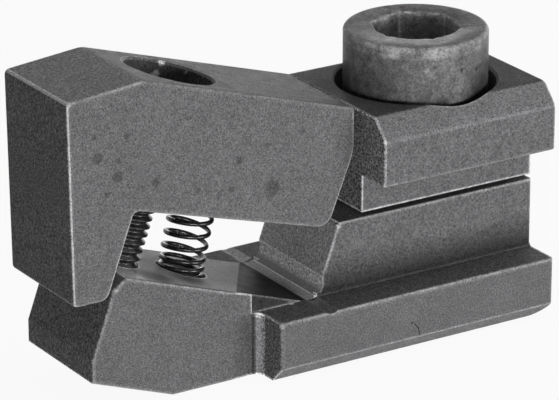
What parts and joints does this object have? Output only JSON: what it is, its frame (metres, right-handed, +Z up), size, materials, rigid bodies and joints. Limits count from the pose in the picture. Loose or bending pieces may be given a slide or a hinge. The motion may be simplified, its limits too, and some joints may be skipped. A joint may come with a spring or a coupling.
{
  "type": "low profile edge clamp",
  "caption": "Black steel T-slot edge clamp: a jaw slides down a 20 degree ramp by an M6 screw, and an M12 screw pulls a clamp plate onto the table.",
  "frame": {"origin": "on the clamp screw's axis, in the plane of the base's underside", "axes": "-X the way the jaw clamps along the slot, +Z up away from the slot's floor"},
  "size_m": [0.0663, 0.025, 0.0403],
  "materials": {
    "black_steel": "black oxide, dull",
    "black_screw": "black oxide, slightly oiled",
    "spring_steel": "blackened wire"
  },
  "bodies": {
    "base": {"base": "black_steel", "return_spring": "spring_steel"},
    "jaw": {"jaw": "black_steel"},
    "jaw_screw": {"jaw_screw": "black_screw"},
    "clamp_plate": {"clamp_plate": "black_steel"},
    "clamp_screw": {"clamp_screw": "black_screw"}
  },
  "joints": [
    {"name": "jaw_slide", "type": "slide", "parent": "base", "child": "jaw", "axis": [-0.342, 0, -0.9397], "range_m": [0, 0.006], "stiffness_N_per_m": 400, "springref_m": -0.02, "deforming": ["return_spring"]},
    {"name": "jaw_screw_turn", "type": "hinge", "parent": "jaw", "child": "jaw_screw", "pos_m": [-0.03581, 0, 0.03577], "axis": [0.342, 0, 0.9397], "range_deg": [-2160, 0]},
    {"name": "clamp_plate_lift", "type": "slide", "parent": "base", "child": "clamp_plate", "axis": [0, 0, 1], "range_m": [-0.0003, 0.003]},
    {"name": "clamp_screw_turn", "type": "hinge", "parent": "clamp_plate", "child": "clamp_screw", "pos_m": [0, 0, 0.03735], "axis": [0, 0, 1], "range_deg": [-61.72, 617.15]}
  ],
  "couplings": [
    {"joint": "jaw_screw_turn", "follows": "jaw_slide", "rad_per_m": -6283.2},
    {"joint": "clamp_screw_turn", "follows": "clamp_plate_lift", "rad_per_m": 3590.4}
  ]
}
